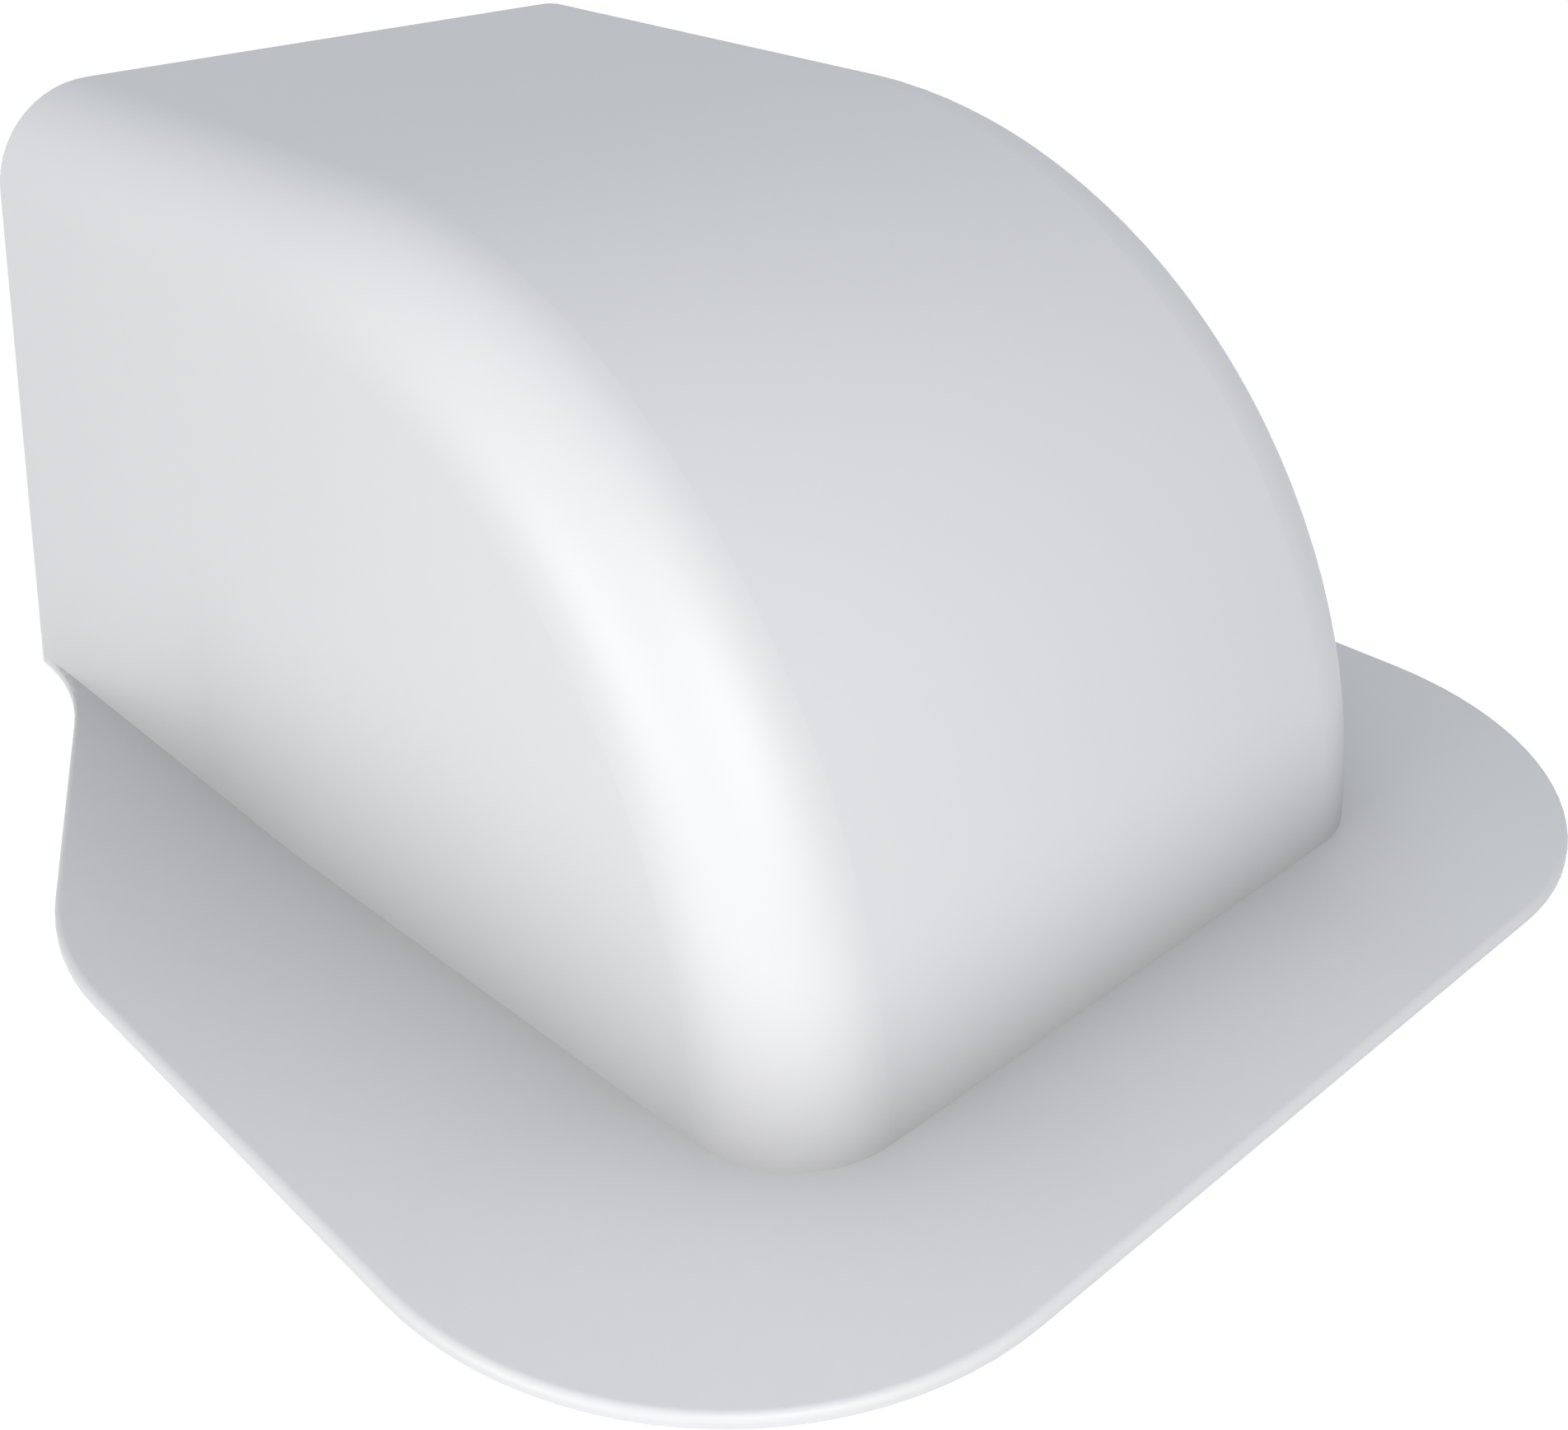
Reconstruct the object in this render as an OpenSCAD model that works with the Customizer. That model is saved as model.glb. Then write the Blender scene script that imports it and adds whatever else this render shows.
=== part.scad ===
// Wall duct bend: a moulded hood that turns flat trunking on a wall through 90 degrees into the wall.
// The wall is the plane z = 0, the trunking comes in along X from the open mouth at -X,
// and the hood closes at +X. The origin is the centre of the bend, on the wall.

/* [Trunking] */
// Width of the trunking against the wall
duct_w = 80; // [60:0.5:140]
// Height of the trunking off the wall
duct_h = 60; // [40:0.5:100]
// Room between the trunking and each side wall
side_gap = 0.2; // [0.1:0.1:1.5]
// Room between the trunking and the crown of the hood
top_gap = 0.8; // [0.1:0.1:3]

/* [Hood] */
// Thickness of the moulded wall
wall = 1.2; // [0.8:0.1:3]
// Length of the straight run between the mouth and the bend
straight_run = 51; // [42:0.5:120]
// Lean of the side walls, narrower towards the crown
draft_deg = 2.3; // [0.5:0.1:5]
// Outer radius of the long edges between the sides and the crown
crown_r = 10.35; // [6:0.05:18]

/* [Flange] */
// Thickness of the flange
flange_t = 1; // [0.8:0.1:3]
// Reach of the flange past each side wall
side_reach = 22.8; // [16:0.2:40]
// Reach of the flange past the front of the bend
front_reach = 17.7; // [8:0.1:40]
// Radius of the two front corners in plan
corner_r = 31.2; // [15:0.1:45]
// Angle at which the flange spreads out from the mouth
flare_deg = 29; // [20:0.5:40]
// Radius of the two curves of the flare in plan
flare_r = 32; // [10:0.5:40]
// Radius of the rounded upper edge of the flange
edge_r = 0.6; // [0.2:0.05:0.7]

/* [Hidden] */
$fn = 120;

// Outer size of the hood
hood_w = duct_w + 2 * (side_gap + wall);
hood_h = duct_h + top_gap + wall;
base_y = hood_w / 2;

// How far the hollow is carried past the mouth to open it
past = 2;

// Outline of the flange in plan
flange_y = base_y + side_reach;
flange_x = hood_h + front_reach;
flare_turn_y = flare_r * (1 - cos(flare_deg));
flare_len = (side_reach - 2 * flare_turn_y) / sin(flare_deg);
flare_in = [-straight_run + flare_r * sin(flare_deg), base_y + flare_turn_y];
flare_out = flare_in + flare_len * [cos(flare_deg), sin(flare_deg)];
side_start_x = flare_out[0] + flare_r * sin(flare_deg);
corner_c = [flange_x - corner_r, flange_y - corner_r];

// Width of the strip that carries the rounded edge around the flange
strip = 3 * edge_r;
// The straight stretches of the strip run on into its curves by lap and lie a hair under
// their skin, so that no two stretches meet face to face
lap = 0.02;
hair = 0.001;

// Section across the hood, x across and y off the wall, shrunk all round by inset
module section(inset) {
    r = crown_r - inset;
    top = hood_h - inset;
    slope = tan(draft_deg);
    half_w = base_y - inset / cos(draft_deg);
    centre_y = top - r;
    centre_x = half_w - slope * centre_y - r / cos(draft_deg);
    tangent = [centre_x + r * cos(draft_deg), centre_y + r * sin(draft_deg)];
    polygon([
        [-half_w, 0],
        [half_w, 0],
        tangent,
        [centre_x, top],
        [-centre_x, top],
        [-tangent[0], tangent[1]]
    ]);
    for (side = [-1, 1])
        translate([side * centre_x, centre_y]) circle(r);
}

// Straight run from the bend to the mouth, and ahead of the mouth by ahead
module run(inset, ahead) {
    translate([-straight_run - ahead, 0, 0])
        rotate([90, 0, 90])
            linear_extrude(straight_run + ahead) section(inset);
}

// Quarter turn of the same section about the line where the bend meets the wall
module bend(inset) {
    rotate([90, 0, 0])
        rotate_extrude(angle = 90)
            rotate(-90) section(inset);
}

// Outline of the flange in plan, shrunk all round by inset
module flange_outline(inset) {
    y = flange_y - inset;
    normal = inset * [sin(flare_deg), -cos(flare_deg)];
    half = [
        [-straight_run, base_y - inset],
        flare_in + normal,
        flare_out + normal,
        [side_start_x, y],
        [corner_c[0], y],
        [flange_x - inset, corner_c[1]]
    ];
    difference() {
        union() {
            for (side = [0, 1]) mirror([0, side]) {
                polygon(concat([[-straight_run, 0]], half, [[flange_x - inset, 0]]));
                translate([side_start_x, flange_y - flare_r]) circle(flare_r - inset);
                translate(corner_c) circle(corner_r - inset);
            }
        }
        for (side = [-1, 1])
            translate([-straight_run, side * (base_y + flare_r)]) circle(flare_r + inset);
    }
}

// Section of the flange's outer strip, from the edge inwards and up from the wall,
// with its upper outer corner rounded
module edge_profile() {
    square([strip, flange_t - edge_r]);
    translate([edge_r, 0]) square([strip - edge_r, flange_t]);
    intersection() {
        translate([edge_r, flange_t - edge_r]) circle(edge_r);
        square([edge_r, flange_t]);
    }
}

// Strip along a straight edge, with the flange on the left of the way it goes
module edge_run(from, to) {
    way = to - from;
    translate([from[0], from[1], 0])
        rotate([90, 0, atan2(way[1], way[0]) + 90])
            translate([hair, 0, -lap])
                linear_extrude(norm(way) + 2 * lap) edge_profile();
}

// Strip around an outer curve, with the flange on the side of its centre
module edge_turn(centre, radius, from_deg, turn_deg) {
    translate([centre[0], centre[1], 0])
        rotate(from_deg)
            rotate_extrude(angle = turn_deg)
                translate([radius, 0]) mirror([1, 0]) edge_profile();
}

// Strip around an inner curve, with the flange outside it
module edge_hollow(centre, radius, from_deg, turn_deg) {
    translate([centre[0], centre[1], 0])
        rotate(from_deg)
            rotate_extrude(angle = turn_deg)
                translate([radius, 0]) edge_profile();
}

// Flat plate against the wall, rounded along its edge from one side of the mouth to the other
module flange() {
    linear_extrude(flange_t) flange_outline(strip / 2);
    for (side = [0, 1]) mirror([0, side, 0]) {
        edge_turn(corner_c, corner_r, 0, 90);
        edge_run([corner_c[0], flange_y], [side_start_x, flange_y]);
        edge_turn([side_start_x, flange_y - flare_r], flare_r, 90, flare_deg);
        edge_run(flare_out, flare_in);
        edge_hollow([-straight_run, base_y + flare_r], flare_r, -90, flare_deg);
    }
    edge_run([flange_x, -corner_c[1]], [flange_x, corner_c[1]]);
}

// The whole moulding: hood and flange in one, open at the mouth and towards the wall
module hood() {
    color("white")
        difference() {
            union() {
                run(0, 0);
                bend(0);
                flange();
            }
            run(wall, past);
            bend(wall);
        }
}

hood();
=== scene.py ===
# Wall duct bend: one white plastic moulding, a hood with a thin flange, lying on its wall.
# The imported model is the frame: the wall is z = 0 and the mouth of the hood faces -X.
import math

import bpy
from mathutils import Matrix, Vector

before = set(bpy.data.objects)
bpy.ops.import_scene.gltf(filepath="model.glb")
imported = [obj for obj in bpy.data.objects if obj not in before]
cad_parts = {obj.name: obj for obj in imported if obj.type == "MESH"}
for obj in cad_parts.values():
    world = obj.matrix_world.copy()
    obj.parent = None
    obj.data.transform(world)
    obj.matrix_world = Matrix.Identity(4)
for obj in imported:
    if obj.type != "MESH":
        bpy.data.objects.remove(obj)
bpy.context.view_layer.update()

# Camera
# It stands off the closed front corner of the bend, above the crown, and looks down at it.
# The photograph shows the lower part of a wider picture, which the shift of the lens gives.
PHOTO_WIDTH, PHOTO_HEIGHT = 1904, 1736
FOCAL_PX = 2475.33
AXIS_PX = (871.82, 478.30)
camera_data = bpy.data.cameras.new("camera")
camera_data.sensor_fit = "HORIZONTAL"
camera_data.sensor_width = 36.0
camera_data.lens = camera_data.sensor_width * FOCAL_PX / PHOTO_WIDTH
camera_data.shift_x = (PHOTO_WIDTH / 2 - AXIS_PX[0]) / PHOTO_WIDTH
camera_data.shift_y = (AXIS_PX[1] - PHOTO_HEIGHT / 2) / PHOTO_WIDTH
camera_data.clip_start = 0.01
camera_data.clip_end = 20.0
CAMERA_PLACE = (0.14164, -0.11869, 0.10728)
TURN, DIP = 0.7400, 0.3741
forward = Vector((-math.cos(DIP) * math.cos(TURN), math.cos(DIP) * math.sin(TURN), -math.sin(DIP)))
right = Vector((math.sin(TURN), math.cos(TURN), 0.0))
up = right.cross(forward)
camera = bpy.data.objects.new("camera", camera_data)
facing = Matrix((right, up, -forward)).transposed().to_4x4()
camera.matrix_world = Matrix.Translation(CAMERA_PLACE) @ facing
bpy.context.scene.collection.objects.link(camera)
bpy.context.scene.camera = camera
bpy.context.scene.view_settings.view_transform = "Standard"

# Hood with its flange
# One injection moulding in white weather-resistant plastic with a smooth satin skin, 1.2 mm thick.
# It is stuck to the wall by the back of its flange, and its mouth and its back are open.


class Socket:
    """A socket of a node tree that takes part in plain arithmetic and feeds other nodes."""

    def __init__(self, tree, out=None):
        self.tree = tree
        self.out = out

    def node(self, kind, settings=None, inputs=None, output=0):
        """Add a node with its settings and the values or links of its sockets."""
        made = self.tree.nodes.new(kind)
        for name, value in (settings or {}).items():
            setattr(made, name, value)
        for name, value in (inputs or {}).items():
            if isinstance(value, Socket):
                self.tree.links.new(value.out, made.inputs[name])
            else:
                made.inputs[name].default_value = value
        return Socket(self.tree, made.outputs[output] if made.outputs else None)

    def maths(self, operation, first, second):
        return self.node("ShaderNodeMath", {"operation": operation}, {0: first, 1: second})

    def __add__(self, other):
        return self.maths("ADD", self, other)

    def __sub__(self, other):
        return self.maths("SUBTRACT", self, other)

    def __rsub__(self, other):
        return self.maths("SUBTRACT", other, self)

    def __mul__(self, other):
        return self.maths("MULTIPLY", self, other)

    def __truediv__(self, other):
        return self.maths("DIVIDE", self, other)

    def __pow__(self, other):
        return self.maths("POWER", self, other)

    __radd__ = __add__
    __rmul__ = __mul__

    def at_least(self, other):
        return self.maths("MAXIMUM", self, other)

    def at_most(self, other):
        return self.maths("MINIMUM", self, other)

    def above(self, other):
        """1 where this value is above the other one, else 0."""
        return self.maths("GREATER_THAN", self, other)

    def size(self):
        """The value without its sign."""
        return self.maths("ABSOLUTE", self, 0.0)

    def part_of(self, whole):
        """How much of the whole this value makes up, held between 0 and 1."""
        return (self / whole).at_least(0.0).at_most(1.0)

    def left_of(self, whole):
        """What this value leaves of the whole, as a part of it, and never less than 0."""
        return (1 - self / whole).at_least(0.0)

    def length_with(self, other):
        """The long side of the right triangle with these two short sides."""
        return (self * self + other * other) ** 0.5

    def between(self, low, high):
        """The colour that goes from low to high as this value goes from 0 to 1."""
        return self.node("ShaderNodeMix", {"data_type": "RGBA"}, {0: self, 6: low, 7: high}, output=2)


def open_tree(holder):
    """Start the node tree of a material or a world afresh."""
    holder.use_nodes = True
    holder.node_tree.nodes.clear()
    return Socket(holder.node_tree)


satin_white = bpy.data.materials.new("satin_white")
tree = open_tree(satin_white)
place = tree.node("ShaderNodeTexCoord", output="Object")
cloud, flow, grain = (
    tree.node("ShaderNodeTexNoise", inputs={"Vector": place, "Scale": scale, "Detail": detail})
    for scale, detail in ((28.0, 3.0), (190.0, 2.0), (2600.0, 2.0))
)
CLOUD_SHARE = 0.7
patch = cloud * CLOUD_SHARE + flow * (1 - CLOUD_SHARE)

# Painted shade: the white is greyed softly where the hood rises from the flange, as the shade
# that gathers in that inner corner, and it fades with the distance from the line where the two
# meet. The first part of this finds the place of a point of the skin: how far out it is past the
# hood and up from the flange, and how much of the way round a corner from the side (0) to the
# front (1). In plan the hood is HOOD_BASE_Y wide to each side, narrows ahead of the bend by its
# lean, and has corners of CROWN_RADIUS.
HOOD_BASE_Y = 0.0414
HOOD_HEIGHT = 0.062
CROWN_RADIUS = 0.01035
LEAN = math.radians(2.3)
FLANGE_THICKNESS = 0.001
split = tree.node("ShaderNodeSeparateXYZ", inputs={"Vector": place}).out.node
along, across, off_wall = (Socket(tree.tree, out) for out in split.outputs)
ahead = along.at_least(0.0)


def past_centres(reach):
    """How far out a point is past the centres of the hood's round corners, to the side and ahead.

    The section of the hood narrows by its lean with the reach.
    """
    side = (across.size() - HOOD_BASE_Y + reach * math.tan(LEAN)) * math.cos(LEAN) + CROWN_RADIUS
    return side, reach - (HOOD_HEIGHT - CROWN_RADIUS)


def past_skin(side, front):
    """How far out a point is past the skin of the hood, less than 0 inside it."""
    return side.at_least(0.0).length_with(front.at_least(0.0)) - CROWN_RADIUS


past_side, past_front = past_centres(ahead)
above_flange = off_wall - FLANGE_THICKNESS
from_junction = past_skin(past_side, past_front).at_least(0.0).length_with(above_flange)
side_share = (past_side + CROWN_RADIUS).at_least(0.0)
front_share = (past_front + CROWN_RADIUS).at_least(0.0)
both_shares = side_share * side_share + front_share * front_share
in_front = front_share * front_share / both_shares
at_corner = 4 * in_front * (1 - in_front)

# On the foot of the hood the painted shade reaches less far in front and at the corners, and it
# thins out towards the mouth, over the length of MOUTH_FADE. The higher the power of its fade,
# the closer it keeps to the junction.
MOUTH_X = -0.051
MOUTH_FADE = 0.036
HOOD_REACH, LESS_IN_FRONT, LESS_AT_CORNER = 0.027, 0.009, 0.0059
HOOD_DEPTH, MORE_AT_CORNER = 0.396, 0.047
POWER_AT_MOUTH, LOWER_BESIDE_FLANGE, LOWER_AT_CORNER = 6, 4, 0.25
beside_flange = (along - MOUTH_X).part_of(MOUTH_FADE)
fade = from_junction.left_of(HOOD_REACH - LESS_IN_FRONT * in_front - LESS_AT_CORNER * at_corner)
power = POWER_AT_MOUTH - LOWER_BESIDE_FLANGE * beside_flange - LOWER_AT_CORNER * at_corner
shade_on_hood = (HOOD_DEPTH + MORE_AT_CORNER * at_corner) * fade**power * beside_flange**0.5

# On the flange the painted shade is lighter in front and at the corners, and fades sooner as the
# hood beside it gets lower. The tips of the flange at the mouth and its rounded rim are left
# unshaded.
FLANGE_REACH = 0.0331
FLANGE_DEPTH, SHADE_LESS_IN_FRONT, SHADE_LESS_AT_CORNER = 0.31, 0.047, 0.345
POWER_AT_SIDE, LOWER_IN_FRONT = 1.05, 0.59
HIGHER_AT_CORNER, HIGHER_WHERE_LOW = 2.4, 2.12
UNSHADED_TIP = 0.004
RIM_RADIUS = 0.0006
lowering = (ahead * ahead).part_of(HOOD_HEIGHT**2)
fade = from_junction.left_of(FLANGE_REACH)
power = POWER_AT_SIDE - LOWER_IN_FRONT * in_front
power = power + HIGHER_AT_CORNER * at_corner + HIGHER_WHERE_LOW * lowering
shade_on_flange = (
    (FLANGE_DEPTH - SHADE_LESS_IN_FRONT * in_front)
    * (1 - SHADE_LESS_AT_CORNER * at_corner)
    * fade**power
    * (along - MOUTH_X).part_of(UNSHADED_TIP)
)

# A point above the flange's face is on the hood, and the inside of the hood has no painted shade.
HAIR = 0.000001
HALF_WALL = 0.0006
on_hood = above_flange.above(HAIR)
on_flange = (above_flange + RIM_RADIUS).part_of(RIM_RADIUS) - on_hood
outer_skin = past_skin(*past_centres(ahead.length_with(off_wall))).above(-HALF_WALL)
# How strongly the painted shade darkens the outer skin at each point, from 0 for none
painted_shade = outer_skin * (on_hood * shade_on_hood + on_flange * shade_on_flange)

DIM_WHITE, CLEAR_WHITE = (0.761, 0.763, 0.777, 1.0), (0.787, 0.789, 0.803, 1.0)
# The painted shade darkens the white towards this black
SHADE_BLACK = (0.0, 0.0, 0.0, 1.0)
SMOOTHEST, ROUGHER = 0.38, 0.14
GRAIN_DEPTH = 0.000003
skin = tree.node(
    "ShaderNodeBump",
    inputs={"Strength": 1.0, "Distance": GRAIN_DEPTH, "Height": grain},
    output="Normal",
)
# The base colour is the white's random tone with the painted shade of the inner corner on it
plastic = tree.node(
    "ShaderNodeBsdfPrincipled",
    inputs={
        "Base Color": painted_shade.between(patch.between(DIM_WHITE, CLEAR_WHITE), SHADE_BLACK),
        "Roughness": SMOOTHEST + ROUGHER * patch,
        "IOR": 1.46,
        "Normal": skin,
    },
)
tree.node("ShaderNodeOutputMaterial", inputs={"Surface": plastic})
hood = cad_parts["hood"]
hood.material_slots[0].material = satin_white

# Floor and backdrop
# A plain white sheet that the moulding lies on, just clear of its back. It takes the soft
# shadow of the moulding and runs out into a white world, which the plastic mirrors too.
FLOOR_SIZE = 8.0
FLOOR_DROP = 0.0002
floor_mesh = bpy.data.meshes.new("floor")
edge = FLOOR_SIZE / 2
floor_mesh.from_pydata(
    [(-edge, -edge, 0), (edge, -edge, 0), (edge, edge, 0), (-edge, edge, 0)], [], [(0, 1, 2, 3)]
)
floor = bpy.data.objects.new("floor", floor_mesh)
floor.location = (0, 0, -FLOOR_DROP)
bpy.context.scene.collection.objects.link(floor)


def seen_ray(tree):
    """1 for rays that show the background: the camera's, and those a gloss or a glass sends on."""
    path = tree.node("ShaderNodeLightPath").out.node.outputs
    camera_ray, glossy_ray, glass_ray = (
        Socket(tree.tree, path[name])
        for name in ("Is Camera Ray", "Is Glossy Ray", "Is Transmission Ray")
    )
    return camera_ray.at_least(glossy_ray).at_least(glass_ray)


# The light that the sheet and the world throw on the moulding is that of a room, lower than
# the white that they show and slightly cool.
PAPER, BOUNCE, GLOW = (0.8, 0.8, 0.8, 1.0), (0.6, 0.6, 0.6, 1.0), 0.70
ROOM_LIGHT, BACKDROP_WHITE = (0.400, 0.433, 0.462, 1.0), (1.0, 1.0, 1.0, 1.0)
sheet = bpy.data.materials.new("white_sheet")
tree = open_tree(sheet)
paper = tree.node("ShaderNodeBsdfDiffuse", inputs={"Color": PAPER})
bounce = tree.node("ShaderNodeBsdfDiffuse", inputs={"Color": BOUNCE})
glow = tree.node("ShaderNodeEmission", inputs={"Strength": GLOW})
shown = tree.node("ShaderNodeAddShader", inputs={0: glow, 1: paper})
sheet_skin = tree.node("ShaderNodeMixShader", inputs={0: seen_ray(tree), 1: bounce, 2: shown})
tree.node("ShaderNodeOutputMaterial", inputs={"Surface": sheet_skin})
floor_mesh.materials.append(sheet)

world = bpy.data.worlds.new("world")
bpy.context.scene.world = world
tree = open_tree(world)
room = tree.node("ShaderNodeBackground", inputs={"Color": ROOM_LIGHT, "Strength": 1.0})
backdrop = tree.node("ShaderNodeBackground", inputs={"Color": BACKDROP_WHITE, "Strength": 1.0})
surround = tree.node("ShaderNodeMixShader", inputs={0: seen_ray(tree), 1: room, 2: backdrop})
tree.node("ShaderNodeOutputWorld", inputs={"Surface": surround})

# Lamps
# Two soft round boxes, slightly warm: a near one behind the camera on its right, and a wide
# far one low on the left that lights the side of the hood.
AIM = Vector((0.012, 0.0, 0.020))
LAMP_WHITE = (1.0, 0.965, 0.938)
# Each has its angle round the hood and its height in degrees, then its distance and its size in
# metres, then its power in watts.
for name, angle, height, distance, size, watts in [
    ("near_box", -28, 25, 0.30, 0.16, 0.367),
    ("far_box", -90, 5, 1.00, 0.50, 4.55),
]:
    lamp_data = bpy.data.lights.new(name, "AREA")
    lamp_data.shape = "DISK"
    lamp_data.size = size
    lamp_data.energy = watts
    lamp_data.color = LAMP_WHITE
    lamp = bpy.data.objects.new(name, lamp_data)
    round_hood, over_floor = math.radians(angle), math.radians(height)
    way = Vector(
        (
            math.cos(round_hood) * math.cos(over_floor),
            math.sin(round_hood) * math.cos(over_floor),
            math.sin(over_floor),
        )
    )
    lamp.location = AIM + way * distance
    lamp.rotation_euler = way.to_track_quat("Z", "Y").to_euler()
    lamp.visible_camera = False
    bpy.context.scene.collection.objects.link(lamp)
